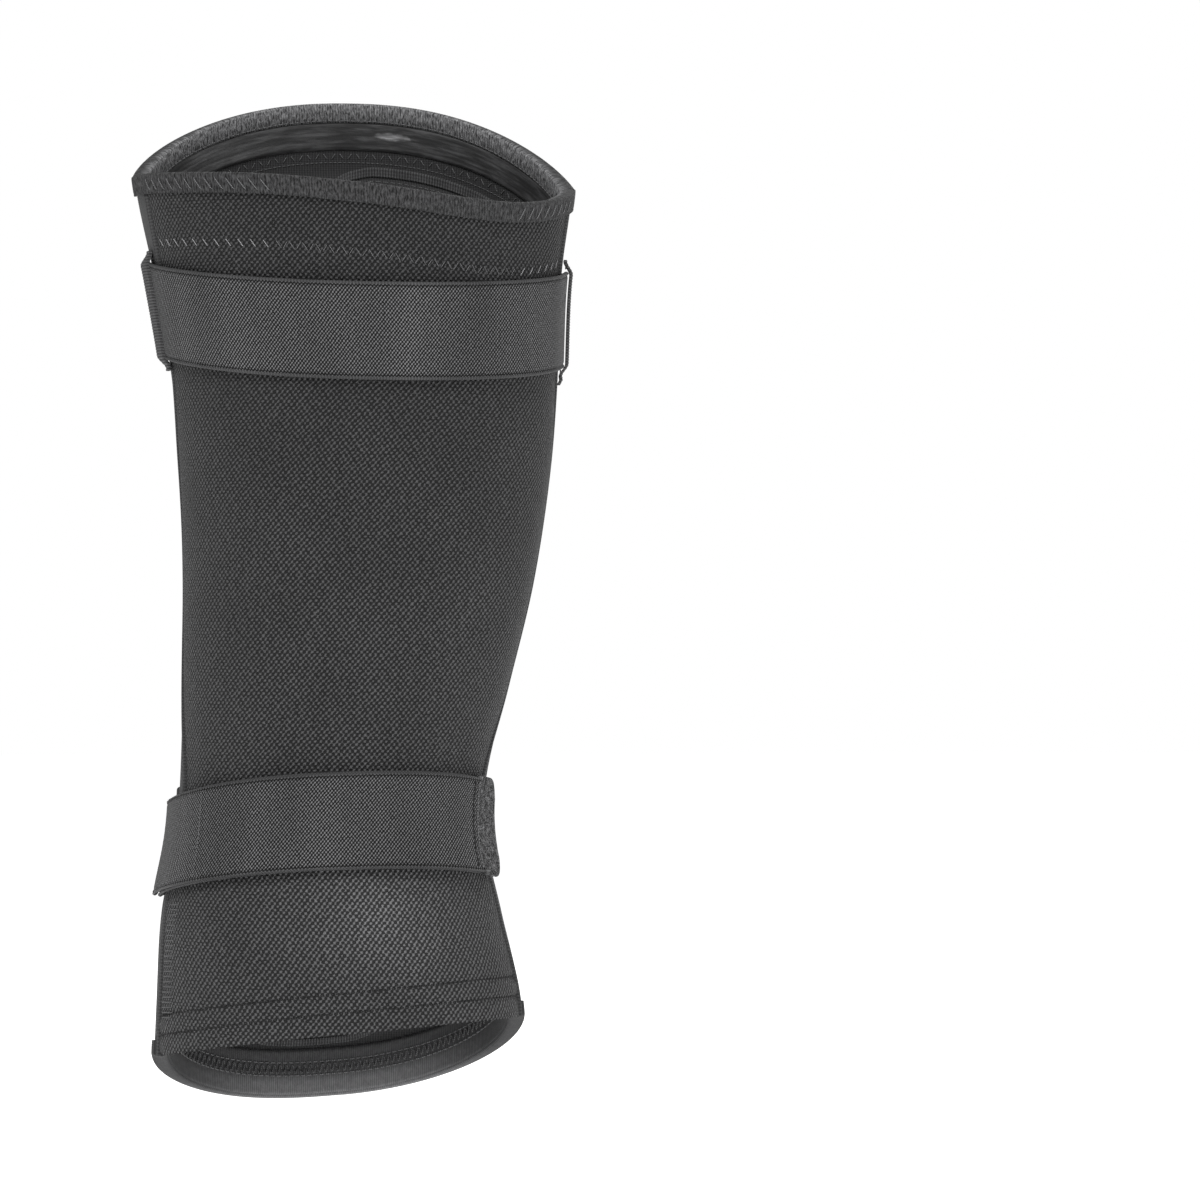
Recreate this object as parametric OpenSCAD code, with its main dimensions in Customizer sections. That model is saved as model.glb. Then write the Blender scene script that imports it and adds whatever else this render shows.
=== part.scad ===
// Sleeve-type knee and shin guard for the left leg: soft sleeve, padded front, two elastic straps.
// Millimetres, +Z up the leg, +Y to the front of the leg, knee axis along X through the origin.

/* [Sleeve] */
// Thickness of the knitted mesh at the back and of the cloth at the front
cloth_t = 1.8; // [1.4:0.1:2.2]
// Thickness of the lining behind the pads
lining_t = 1.4; // [1:0.1:1.8]
// Radius of the backward sweep that gives the sleeve its pre-bent knee
bend_r = 980; // [900:10:1200]
// Width of the taped side seams
seam_w = 4.4; // [3.6:0.2:5]

/* [Edges] */
// Height of the folded elastic binding at the thigh opening
binding_h = 8; // [7:0.5:9]
// Height of the silicone gripper band inside the thigh opening
gripper_h = 11; // [9:1:14]
// Height of the rolled hem at the calf opening
hem_h = 6.5; // [6:0.5:7]
// Height of the brushed facing inside the calf opening
facing_h = 13; // [12:1:14]
// Height of the back cloth turned up inside at the calf
turn_up = 18; // [16:1:22]

/* [Pads] */
// Thickness of the foam over the knee
knee_foam = 10; // [8:0.5:11]
// Thickness of the foam over the shin
shin_foam = 8; // [7:0.5:9]
// Thickness of the foam over the thigh
thigh_foam = 7; // [6:0.5:8]
// Thickness of the moulded shells
shell_t = 2.4; // [2:0.2:3]

/* [Straps] */
// Width of the elastic straps
strap_w = 38; // [35:0.5:39]
// Thickness of the elastic
strap_t = 1.8; // [1.5:0.1:2]
// Diameter of the wire of the rectangular ring
ring_d = 3; // [2.6:0.1:3.2]

/* [Hidden] */

// Heights of the sections the sleeve is drawn through
st_z = [-215, -165, -130, -100, -78, -40, 0, 40, 80, 120, 160, 205];
// Left and right side of the leg at those heights
st_left = [-81, -79.4, -77.6, -72, -70.4, -69.4, -69.2, -70.4, -73.4, -80, -88, -91];
st_right = [66, 65, 57.5, 51, 51.4, 60.2, 70, 76.2, 79.4, 81, 86, 88];
// Reach of the front and of the back from the centre line at those heights
st_front = [56, 56, 56, 56, 56, 58, 60, 60, 60, 61, 62, 62];
st_back = [56, 58, 57, 53, 51, 53, 56, 58, 60, 61, 62, 62];
// Angle of the two side seams round the leg at those heights
st_seam_l = [194, 194.5, 196, 197, 197, 184, 176, 178, 190, 197, 200, 200];
st_seam_r = [352, 351.5, 348, 345, 344.5, 356, 362, 361, 355, 351, 349, 349];
// Roundness of the section, 2 is an ellipse
power = 2.25;
// Where the sleeve folds: top and bottom of the knee zone
knee_hi = 64;
knee_lo = -60;
// Space between two pieces of cloth that meet at a seam
gap = 0.2;
// Half of a side seam as an angle
seam_a = 0.5 * seam_w / 72 * 57.3;
// Inner offset of the back cloth and of the front cloth
d_cloth = -cloth_t;
d_foam = d_cloth - 0.3;
d_line = d_foam - 0.5;
// Angle round the leg where the calf ring sits
ring_a = 150;
// Angle where the calf tab starts
tab_a = 331;
tab_end_a = 346;
// Angles where the thigh strap starts, where its tab starts and where the tab ends
top_start_a = 132;
top_tab_a = 408;
top_end_a = 434;

function clamp01(x) = min(1, max(0, x));
function smooth(x) = let (c = clamp01(x)) c * c * (3 - 2 * c);
function mix(a, b, t) = a + (b - a) * t;
function seg(z, i = 1) = i >= len(st_z) - 1 || z < st_z[i] ? i - 1 : seg(z, i + 1);
function slope(t, i) = let (a = max(i - 1, 0), b = min(i + 1, len(st_z) - 1))
    (t[b] - t[a]) / (st_z[b] - st_z[a]);
function hermite(p, q, m, n, s) = (2 * s - 3) * s * s * (p - q) + p + ((s - 2) * s + 1) * s * m
    + (s - 1) * s * s * n;
function along(t, z) = let (i = seg(z), h = st_z[i + 1] - st_z[i])
    hermite(t[i], t[i + 1], slope(t, i) * h, slope(t, i + 1) * h, (z - st_z[i]) / h);
function round_pow(c) = sign(c) * pow(abs(c), 2 / power);
function centre_y(z) = -z * z / (2 * bend_r);

// A point of the sleeve: angle round the leg, height, distance out from the cloth's outer face
function skin(a, z, d) = let (l = along(st_left, z), r = along(st_right, z),
    b = along(sin(a) > 0 ? st_front : st_back, z))
    [(l + r) / 2 + ((r - l) / 2 + d) * round_pow(cos(a)), centre_y(z) + (b + d) * round_pow(sin(a)), z];

// Height of the thigh opening's rim and of the calf opening's rim
function rim_top(a) = 160 - 2 * cos(a)
    + (sin(a) > 0 ? 36 * pow(sin(a), 1.42 + 0.08 * cos(a))
    : 1.5 * sin(a) - 10 * pow(max(0, cos(a - 320)), 3) * sqrt(-sin(a)));
function rim_low(a) = -179.2 + 7.5 * cos(a) - (sin(a) > 0 ? 27.5 : 5) * sin(a);

// Middle height of the two straps round the leg
function top_strap_z(a) = 108 - 2 * cos(a) + 9.5 * min(0, sin(a));
function calf_strap_z(a) = -102 + 3 * cos(a) - 10 * min(0, sin(a));

// How far the foam stands in from its edges, 0 outside and 1 in the middle
function swell(a, z, a0, a1, z0, z1, m) = smooth((a - a0 + m) / 16) * smooth((a1 - a + m) / 16)
    * smooth((z - z0 + m) / 16) * smooth((z1 - z + m) / 16);
function thigh_swell(a, z, m) = swell(a, z, 38, 142, 76, rim_top(a) - 34, m);
function knee_swell(a, z, m) = swell(a, z, 40, 140, -48, 54, m);
function shin_swell(a, z, m) = swell(a, z, 36, 144, rim_low(a) + 28, -74, m);
function lining_d(a, z) = d_line - thigh_foam * thigh_swell(a, z, 7) - knee_foam * knee_swell(a, z, 7)
    - shin_foam * shin_swell(a, z, 7);
// Inner face of the wall where it is bound: thicker at the front than at the back
function wall_d(a) = mix(d_cloth, d_line - lining_t, smooth(sin(a) * 6 + 3));

// A closed sheet between an outer and an inner face, both functions of (u, v)
module sheet(outer, inner, nu, nv, closed = false) {
    row = nu + 1;
    m = row * (nv + 1);
    wrap = closed ? nu : row;
    pts = [for (s = [0, 1]) for (j = [0:nv]) for (i = [0:nu])
        s == 0 ? outer(i / nu, j / nv) : inner(i / nu, j / nv)];
    function id(i, j, s) = s * m + j * row + i % wrap;
    quads = [
        for (j = [0:nv - 1]) for (i = [0:nu - 1])
            [id(i, j, 0), id(i, j + 1, 0), id(i + 1, j + 1, 0), id(i + 1, j, 0)],
        for (j = [0:nv - 1]) for (i = [0:nu - 1])
            [id(i, j, 1), id(i + 1, j, 1), id(i + 1, j + 1, 1), id(i, j + 1, 1)],
        for (i = [0:nu - 1]) [id(i, nv, 0), id(i, nv, 1), id(i + 1, nv, 1), id(i + 1, nv, 0)],
        for (i = [0:nu - 1]) [id(i, 0, 0), id(i + 1, 0, 0), id(i + 1, 0, 1), id(i, 0, 1)],
        if (!closed) for (j = [0:nv - 1]) [id(0, j, 0), id(0, j, 1), id(0, j + 1, 1), id(0, j + 1, 0)],
        if (!closed) for (j = [0:nv - 1]) [id(nu, j, 0), id(nu, j + 1, 0), id(nu, j + 1, 1), id(nu, j, 1)]];
    polyhedron(pts, [for (q = quads) each [[q[0], q[1], q[2]], [q[0], q[2], q[3]]]]);
}

// A channel of eight points swept round the leg from one angle to another, closed when it goes all round
module channel(f, a0, a1, nu) {
    closed = a1 - a0 == 360;
    wrap = closed ? nu : nu + 1;
    pts = [for (i = [0:wrap - 1]) for (k = [0:7]) f(mix(a0, a1, i / nu), k)];
    function id(i, k) = (i % wrap) * 8 + k % 8;
    ends = [[0, 1, 6, 7], [1, 2, 5, 6], [2, 3, 4, 5]];
    quads = [
        for (i = [0:nu - 1]) for (k = [0:7]) [id(i, k), id(i, k + 1), id(i + 1, k + 1), id(i + 1, k)],
        if (!closed) for (e = ends) [id(0, e[3]), id(0, e[2]), id(0, e[1]), id(0, e[0])],
        if (!closed) for (e = ends) [for (k = e) id(nu, k)]];
    polyhedron(pts, [for (q = quads) each [[q[0], q[1], q[2]], [q[0], q[2], q[3]]]]);
}

// A piece of the sleeve between two angles and two heights, each a function of the other
module patch(a0, a1, z0, z1, d0, d1, nu, nv) {
    function az(u, v) = let (a = mix(a0(0), a1(0), u), z = mix(z0(a), z1(a), v),
        b = mix(a0(z), a1(z), u)) [b, mix(z0(b), z1(b), v)];
    sheet(function(u, v) let (p = az(u, v)) skin(p[0], p[1], d0(p[0], p[1])),
        function(u, v) let (p = az(u, v)) skin(p[0], p[1], d1(p[0], p[1])), nu, nv);
}

// Ends of the back cloth and of the front cloth at the side seams
back_from = function(z) along(st_seam_l, z) + seam_a + gap;
back_to = function(z) along(st_seam_r, z) - seam_a - gap;
front_from = function(z) along(st_seam_r, z) - 360 + seam_a + gap;
front_to = function(z) along(st_seam_l, z) - seam_a - gap;
// Edges of the zones
thigh_from = function(a) knee_hi + gap;
thigh_to = function(a) rim_top(a) - 1.8;
knee_from = function(a) knee_lo + gap;
knee_to = function(a) knee_hi - gap;
shin_from = function(a) rim_low(a) + 1.8;
shin_to = function(a) knee_lo - gap;
function at(d) = function(a, z) d;

module back_cloth(z0, z1, nv) patch(back_from, back_to, z0, z1, at(0), at(d_cloth), 18, nv);
module front_cloth(z0, z1, nv) patch(front_from, front_to, z0, z1, at(0), at(d_cloth), 22, nv);
module lining(z0, z1, nv) patch(front_from, front_to, z0, z1, function(a, z) lining_d(a, z),
    function(a, z) lining_d(a, z) - lining_t, 28, nv);
module seam(t, turn, z0, z1, nv) patch(function(z) along(t, z) - turn - seam_a,
    function(z) along(t, z) - turn + seam_a, z0, z1, at(0.3), at(d_cloth - 0.5), 2, nv);
// Foam: full in the middle, thin at its edges
module foam(a0, a1, z0, z1, t, full) patch(at1(a0), at1(a1), z0, z1, at(d_foam),
    function(a, z) d_foam - 1 - (t - 1) * full(a, z), 14, 10);
function at1(a) = function(z) a;
// A band that follows a strap's middle height
module band(mid, a0, a1, d0, d1, w, nu) sheet(
    function(u, v) let (a = mix(a0, a1, u)) skin(a, mid(a) + (v - 0.5) * w, d0(a)),
    function(u, v) let (a = mix(a0, a1, u)) skin(a, mid(a) + (v - 0.5) * w, d1(a)), nu, 2);
// A flat frame at a point of the sleeve: X along the leg's girth, Y up along the sleeve, Z out
module on_skin(a, z, d) {
    p = skin(a, z, d);
    t = skin(a + 1, z, d) - skin(a - 1, z, d);
    x = t / norm(t);
    w = skin(a, z + 18, d) - skin(a, z - 18, d);
    v = w - (w * x) * x;
    y = v / norm(v);
    n = cross(x, y);
    multmatrix([for (i = [0:2]) [x[i], y[i], n[i], p[i]]]) children();
}
// Strap or webbing turned round one long side of the ring, its two leaves leading away from it
module turn_round(x, side, w, t, upper, lower) {
    r = ring_d / 2 + 0.3;
    translate([x, -w / 2, 0]) rotate([-90, 0, 0]) linear_extrude(w) scale([side, 1]) {
        difference() {
            circle(r + t, $fn = 40);
            circle(r, $fn = 40);
            translate([0, -10]) square([10, 20]);
        }
        translate([-0.1, -r - t]) square([upper + 0.1, t]);
        translate([-0.1, r]) square([lower + 0.1, t]);
    }
}

module thigh_back_mesh() color([0.28, 0.28, 0.28]) back_cloth(thigh_from, thigh_to, 8);
module knee_back_mesh() color([0.28, 0.28, 0.28]) back_cloth(knee_from, knee_to, 9);
module shin_back_mesh() color([0.28, 0.28, 0.28]) back_cloth(function(a) rim_low(a), shin_to, 10);
module thigh_front_panel() color([0.22, 0.22, 0.22]) front_cloth(thigh_from, thigh_to, 8);
module knee_front_panel() color([0.22, 0.22, 0.22]) front_cloth(knee_from, knee_to, 9);
module shin_front_panel() color([0.22, 0.22, 0.22]) front_cloth(shin_from, shin_to, 10);
module thigh_lining() color([0.18, 0.18, 0.18]) lining(thigh_from, thigh_to, 10);
module knee_lining() color([0.18, 0.18, 0.18]) lining(knee_from, knee_to, 12);
module shin_lining() color([0.18, 0.18, 0.18]) lining(shin_from, shin_to, 14);

module thigh_pad() color([0.4, 0.4, 0.38]) foam(38, 142, function(a) 76, function(a) rim_top(a) - 34,
    thigh_foam, function(a, z) thigh_swell(a, z, 0));
module knee_pad() color([0.4, 0.4, 0.38]) foam(40, 140, function(a) -48, function(a) 54,
    knee_foam, function(a, z) knee_swell(a, z, 0));
module shin_pad() color([0.4, 0.4, 0.38]) foam(36, 144, function(a) rim_low(a) + 28, function(a) -74,
    shin_foam, function(a, z) shin_swell(a, z, 0));

// A rounded patch of the sleeve: a square drawn in towards an ellipse
function pad_at(u, v, mid_a, half_a, mid_z, half_z) = let (x = 2 * u - 1, y = 2 * v - 1)
    [mid_a + half_a * x * sqrt(1 - 0.4 * y * y), mid_z + half_z * y * sqrt(1 - 0.4 * x * x)];
// How far a rounded patch stands up: 0 at its edge, 1 in the middle
function dome(u, v) = (1 - pow(2 * u - 1, 4)) * (1 - pow(2 * v - 1, 4));

// Moulded shells on the outside of the front, thickest in the middle
module shell(half_a, z0, z1, rise) sheet(
    function(u, v) let (p = pad_at(u, v, 90, half_a, (z0 + z1) / 2, (z1 - z0) / 2))
        skin(p[0], p[1], 0.5 + shell_t + rise * dome(u, v)),
    function(u, v) let (p = pad_at(u, v, 90, half_a, (z0 + z1) / 2, (z1 - z0) / 2))
        skin(p[0], p[1], 0.5), 16, 12);
module knee_shell() color([0.12, 0.12, 0.12]) shell(46, -48, 54, 6);
module shin_shell() color([0.12, 0.12, 0.12]) shell(33, -174, -64, 3.5);

// Angles where the rolled hem of the front starts and ends, at the side seams
hem_from = st_seam_r[0] - 360 + 2;
hem_to = st_seam_l[0] - 2;
// Folded binding: a channel over the edge of the cloth
module binding(rim, h, up, a0, a1) channel(function(a, k) let (i = wall_d(a),
    p = [[1.3, h], [1.3, 0], [i - 1.4, 0], [i - 1.4, h], [i - 0.5, h], [i - 0.5, 1.2], [0.4, 1.2],
        [0.4, h]][up > 0 ? k : 7 - k]) skin(a, rim(a) - up * p[1], p[0]), a0, a1, 56);
module top_binding() color([0.3, 0.3, 0.3]) binding(function(a) rim_top(a), binding_h, 1,
    0, 360);
module calf_hem() color([0.32, 0.32, 0.32]) binding(function(a) rim_low(a), hem_h, -1,
    hem_from, hem_to);

// A band against the inside of the wall
module inner_band(z0, z1, a0, a1) sheet(function(u, v) let (a = mix(a0, a1, u))
    skin(a, mix(z0(a), z1(a), v), wall_d(a) - 0.6), function(u, v) let (a = mix(a0, a1, u))
    skin(a, mix(z0(a), z1(a), v), wall_d(a) - 1.7), 56, 1, a1 - a0 == 360);
module thigh_gripper() color([0.24, 0.24, 0.24]) inner_band(
    function(a) rim_top(a) - binding_h - gap - gripper_h, function(a) rim_top(a) - binding_h - gap, 0, 360);
module calf_facing() color([0.36, 0.36, 0.36]) inner_band(function(a) rim_low(a) + hem_h + gap,
    function(a) rim_low(a) + hem_h + gap + facing_h, hem_from, hem_to);
// The back cloth turned up inside at its lower edge
module back_hem() color([0.28, 0.28, 0.28]) inner_band(function(a) rim_low(a) + 0.2,
    function(a) rim_low(a) + turn_up, hem_to + 0.6, hem_from + 359.4);

module seam_piece(t, turn, z0, z1, nv) color([0.2, 0.2, 0.2]) seam(t, turn, z0, z1, nv);
seam_top = function(a) rim_top(a) - binding_h - gap;
seam_low = function(a) rim_low(a) + 0.6;
module thigh_seam_left() seam_piece(st_seam_l, 0, thigh_from, seam_top, 8);
module thigh_seam_right() seam_piece(st_seam_r, 0, thigh_from, seam_top, 8);
module knee_seam_left() seam_piece(st_seam_l, 0, knee_from, knee_to, 9);
module knee_seam_right() seam_piece(st_seam_r, 0, knee_from, knee_to, 9);
module shin_seam_left() seam_piece(st_seam_l, 0, seam_low, shin_to, 10);
module shin_seam_right() seam_piece(st_seam_r, 0, seam_low, shin_to, 10);

// Belt-loop keeper: a webbing strip over the strap, sewn down above and below it
keeper_w = 6;
module keeper(a, z) color([0.3, 0.3, 0.3]) {
    n = 10;
    half = strap_w / 2 + 4.5;
    low = function(v) 0.3 + (strap_t + 2.2) * smooth((half - abs(v)) / 4.2);
    sheet(function(u, v) let (h = mix(-half, half, v))
        skin(a + (u - 0.5) * keeper_w / 1.45, z + h, low(h) + 1),
        function(u, v) let (h = mix(-half, half, v))
        skin(a + (u - 0.5) * keeper_w / 1.45, z + h, low(h)), 2, n);
}
module keeper_left() keeper(190.5, top_strap_z(190.5));
module keeper_right() keeper(359, top_strap_z(359));

module thigh_strap() color([0.33, 0.33, 0.33]) band(function(a) top_strap_z(a), top_start_a, top_tab_a,
    function(a) 0.9 + strap_t, function(a) 0.9, strap_w, 60);
module thigh_loop_patch() color([0.36, 0.36, 0.36]) band(function(a) top_strap_z(a), top_tab_a + 2 - 360,
    top_end_a - 357, function(a) 1.4, function(a) 0.3, strap_w - 6, 10);
// The free end of a strap, its corners rounded
module tab(mid, a0, a1, d, w) sheet(
    function(u, v) let (a = mix(a0, a1, u), c = w * (1 - 0.35 * pow(max(0, u - 0.55) / 0.45, 3)))
        skin(a, mid(a) + (v - 0.5) * c, d(u) + 1.6),
    function(u, v) let (a = mix(a0, a1, u), c = w * (1 - 0.35 * pow(max(0, u - 0.55) / 0.45, 3)))
        skin(a, mid(a) + (v - 0.5) * c, d(u)), 8, 2);
module thigh_tab() color([0.35, 0.35, 0.35]) tab(function(a) top_strap_z(a), top_tab_a + 0.4, top_end_a,
    function(u) 1.8, strap_w + 1);

// Calf strap: sewn at the right seam, round the back, through the ring and back over itself
under_d = 0.5;
over_d = under_d + strap_t + 0.5;
bar_d = under_d + strap_t + 0.3 + ring_d / 2;
ring_z = calf_strap_z(ring_a);
module calf_strap_under() color([0.34, 0.34, 0.34]) band(function(a) calf_strap_z(a), ring_a + 13.5, 343,
    function(a) under_d + strap_t, function(a) under_d, strap_w, 40);
module calf_strap_over() color([0.33, 0.33, 0.33]) {
    lift = function(a) over_d + (ring_d + 0.8) * smooth((ring_a + 27 - a) / 18);
    band(function(a) calf_strap_z(a), ring_a + 8, tab_a, function(a) lift(a) + strap_t, lift,
        strap_w - 1, 40);
    on_skin(ring_a, ring_z, bar_d) turn_round(6.6, 1, strap_w - 1, strap_t, 3, 0.2);
}
// The stiff calf tab stands away from the narrowing leg towards its free end
module calf_tab() color([0.35, 0.35, 0.35]) tab(function(a) calf_strap_z(a), tab_a + 0.4, tab_end_a,
    function(u) over_d + 1.4 * pow(u, 1.6), strap_w + 1);
// Rectangular ring of round wire: the webbing holds one long side, the strap turns round the other
module calf_ring() color([0.1, 0.1, 0.1]) on_skin(ring_a, ring_z, bar_d) {
    long = strap_w + 6;
    for (x = [-6.6, 6.6]) translate([x, -long / 2, 0]) rotate([-90, 0, 0])
        cylinder(h = long, d = ring_d, $fn = 32);
    for (y = [-long / 2, long / 2]) translate([-6.6, y, 0]) rotate([0, 90, 0])
        cylinder(h = 13.2, d = ring_d, $fn = 32);
    for (x = [-6.6, 6.6], y = [-long / 2, long / 2]) translate([x, y, 0]) sphere(d = ring_d, $fn = 32);
}
module ring_webbing() color([0.3, 0.3, 0.3]) {
    on_skin(ring_a, ring_z, bar_d) turn_round(-6.6, -1, strap_w - 2, 1.4, 5.2, 5.2);
    band(function(a) calf_strap_z(a), 127, ring_a - 11.4, function(a) 3.4 + 4.3 * smooth((a - 128) / 10),
        function(a) 0.6, strap_w - 2, 8);
}

thigh_back_mesh();
thigh_front_panel();
thigh_lining();
thigh_pad();
top_binding();
thigh_gripper();
thigh_seam_left();
thigh_seam_right();
keeper_left();
keeper_right();
thigh_strap();
thigh_loop_patch();
thigh_tab();
knee_back_mesh();
knee_front_panel();
knee_lining();
knee_seam_left();
knee_seam_right();
knee_pad();
knee_shell();
shin_back_mesh();
shin_front_panel();
shin_lining();
shin_pad();
shin_shell();
back_hem();
calf_hem();
calf_facing();
shin_seam_left();
shin_seam_right();
ring_webbing();
calf_strap_under();
calf_ring();
calf_strap_over();
calf_tab();
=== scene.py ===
import math

import bpy
import numpy as np
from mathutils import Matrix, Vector


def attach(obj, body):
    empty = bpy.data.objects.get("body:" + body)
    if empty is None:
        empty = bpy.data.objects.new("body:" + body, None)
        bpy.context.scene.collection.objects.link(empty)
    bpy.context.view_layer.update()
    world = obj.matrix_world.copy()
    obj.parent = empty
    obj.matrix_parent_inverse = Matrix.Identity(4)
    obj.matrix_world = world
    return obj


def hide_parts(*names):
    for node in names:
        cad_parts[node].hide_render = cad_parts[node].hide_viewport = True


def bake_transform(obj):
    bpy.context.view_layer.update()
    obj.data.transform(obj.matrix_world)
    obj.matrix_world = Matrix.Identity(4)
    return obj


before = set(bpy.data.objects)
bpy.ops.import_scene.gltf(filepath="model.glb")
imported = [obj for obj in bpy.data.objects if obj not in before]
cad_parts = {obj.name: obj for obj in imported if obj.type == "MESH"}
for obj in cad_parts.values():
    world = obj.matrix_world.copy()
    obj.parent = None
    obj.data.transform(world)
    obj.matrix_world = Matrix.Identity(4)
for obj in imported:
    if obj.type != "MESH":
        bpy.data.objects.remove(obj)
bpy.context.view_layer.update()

MM = 0.001

# ---------------------------------------------------------------- the sleeve's shape, in mm and degrees

# Heights of the sections the sleeve is drawn through, its sides, and its reach to front and back
HEIGHTS = np.array([-215, -165, -130, -100, -78, -40, 0, 40, 80, 120, 160, 205], float)
LEFT = np.array([-81, -79.4, -77.6, -72, -70.4, -69.4, -69.2, -70.4, -73.4, -80, -88, -91])
RIGHT = np.array([66, 65, 57.5, 51, 51.4, 60.2, 70, 76.2, 79.4, 81, 86, 88])
FRONT = np.array([56, 56, 56, 56, 56, 58, 60, 60, 60, 61, 62, 62], float)
BACK = np.array([56, 58, 57, 53, 51, 53, 56, 58, 60, 61, 62, 62], float)
SEAM_L = np.array([194, 194.5, 196, 197, 197, 184, 176, 178, 190, 197, 200, 200])
SEAM_R = np.array([352, 351.5, 348, 345, 344.5, 356, 362, 361, 355, 351, 349, 349])
POWER = 2.25
BEND_R = 980

CLOTH_T = 1.8
LINING_T = 1.4
SEAM_W = 4.4
SEAM_A = 0.5 * SEAM_W / 72 * 57.3
BINDING_H = 8
GRIPPER_H = 11
HEM_H = 6.5
FACING_H = 13
TURN_UP = 18
STRAP_W = 38
STRAP_T = 1.8
RING_D = 3.0
D_FOAM = -CLOTH_T - 0.3
D_LINE = D_FOAM - 0.5

# Angles round the leg: ring and tab of the calf strap, ends of the thigh strap
RING_A = 150
TAB_A = 331
TAB_END_A = 346
TOP_START_A = 132
TOP_TAB_A = 408
TOP_END_A = 434
UNDER_D = 0.5
OVER_D = UNDER_D + STRAP_T + 0.5
BAR_D = UNDER_D + STRAP_T + 0.3 + RING_D / 2
THIGH_STRAP_D = 0.9
KEEPER_SLACK = 0.9
MM_PER_DEGREE = 1.45
FLOOR_Z = -320
FLOOR_HALF = 9e3

# Stitched rows, in mm from the rim they follow
BAND_ROW = 27
HEM_ROWS = (8.2, 15.7)
COVER_ROWS = (9.2, 14.4)


def smooth(x):
    c = np.clip(x, 0, 1)
    return c * c * (3 - 2 * c)


def mix(a, b, t):
    return a + (b - a) * t


def sind(a):
    return np.sin(np.radians(a))


def cosd(a):
    return np.cos(np.radians(a))


def along(table, z):
    """A section value at height z, on a smooth curve through the table."""
    z = np.asarray(z, float)
    i = np.clip(np.searchsorted(HEIGHTS, z, side="right") - 1, 0, len(HEIGHTS) - 2)
    slopes = np.gradient(table, edge_order=1) / np.gradient(HEIGHTS, edge_order=1)
    h = HEIGHTS[i + 1] - HEIGHTS[i]
    s = (z - HEIGHTS[i]) / h
    p, q, m, n = table[i], table[i + 1], slopes[i] * h, slopes[i + 1] * h
    return (2 * s - 3) * s * s * (p - q) + p + ((s - 2) * s + 1) * s * m + (s - 1) * s * s * n


def skin(a, z, d):
    """Points of the sleeve: angle round the leg, height, distance out from the cloth's outer face."""
    a, z, d = np.broadcast_arrays(*(np.asarray(x, float) for x in (a, z, d)))
    left, right = along(LEFT, z), along(RIGHT, z)
    reach = np.where(sind(a) > 0, along(FRONT, z), along(BACK, z))
    c, s = cosd(a), sind(a)
    x = (left + right) / 2 + ((right - left) / 2 + d) * np.sign(c) * np.abs(c) ** (2 / POWER)
    y = -z * z / (2 * BEND_R) + (reach + d) * np.sign(s) * np.abs(s) ** (2 / POWER)
    return np.stack([x, y, z], -1)


def rim_top(a):
    s = sind(a)
    back = 1.5 * s - 10 * np.maximum(0, cosd(a - 320)) ** 3 * np.sqrt(np.maximum(-s, 0))
    front = 36 * np.maximum(s, 0) ** (1.42 + 0.08 * cosd(a))
    return 160 - 2 * cosd(a) + np.where(s > 0, front, back)


def rim_low(a):
    s = sind(a)
    return -179.2 + 7.5 * cosd(a) - np.where(s > 0, 27.5, 5) * s


def under_top(mm):
    """The line round the leg that runs mm below the top rim."""
    return lambda a: rim_top(a) - mm


def over_low(mm):
    """The line round the leg that runs mm above the low rim."""
    return lambda a: rim_low(a) + mm


def top_strap_z(a):
    return 108 - 2 * cosd(a) + 9.5 * np.minimum(0, sind(a))


def calf_strap_z(a):
    return -102 + 3 * cosd(a) - 10 * np.minimum(0, sind(a))


def constant(value):
    """A line round the leg that keeps one height or one distance."""
    return lambda a: value + 0 * a


# The foam pads: first and last angle, lower and upper edge, thickness
PADS = {
    "thigh": (38, 142, constant(76), under_top(34), 7),
    "knee": (40, 140, constant(-48), constant(54), 10),
    "shin": (36, 144, over_low(28), constant(-74), 8)}


def swell(a, z, a0, a1, z0, z1, m, edge=16):
    """1 inside a patch of the sleeve, falling softly to 0 from m mm or degrees beyond its sides."""
    return (smooth((a - a0 + m) / edge) * smooth((a1 - a + m) / edge)
            * smooth((z - z0 + m) / edge) * smooth((z1 - z + m) / edge))


def lining_d(a, z):
    """The lining stands in from the cloth where a pad lies behind it."""
    return D_LINE - sum(thick * swell(a, z, a0, a1, low(a), high(a), 7)
                        for a0, a1, low, high, thick in PADS.values())


def wall_d(a):
    """Inner face of the wall where it is bound: thicker at the front."""
    return mix(-CLOTH_T, D_LINE - LINING_T, smooth(sind(a) * 6 + 3))


def front_inside(a, z):
    """Inner face of the lining."""
    return lining_d(a, z) - LINING_T


def girth(points):
    """Running length along the first axis of a grid of points, in mm."""
    steps = np.linalg.norm(np.diff(points, axis=0), axis=-1)
    return np.concatenate([np.zeros((1,) + steps.shape[1:]), np.cumsum(steps, axis=0)])


def front_from(z):
    return along(SEAM_R, z) - 360 + SEAM_A + 0.2


def front_to(z):
    return along(SEAM_L, z) - SEAM_A - 0.2


def grid_map(u, v):
    """UV of a grid, in mm, from columns, rows or whole grids of u and v."""
    return np.stack(np.broadcast_arrays(u, v), -1)


def walk(a0, a1, height, step, d=0.0):
    """Angles from a0 to a1 that are step mm apart along the line at that height."""
    a = np.linspace(a0, a1, 1500)
    run = girth(skin(a, height(a), d))
    count = max(2, int(round(run[-1] / step)) + 1)
    return np.interp(np.linspace(0, run[-1], count), run, a)


# ---------------------------------------------------------------- meshes

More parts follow.
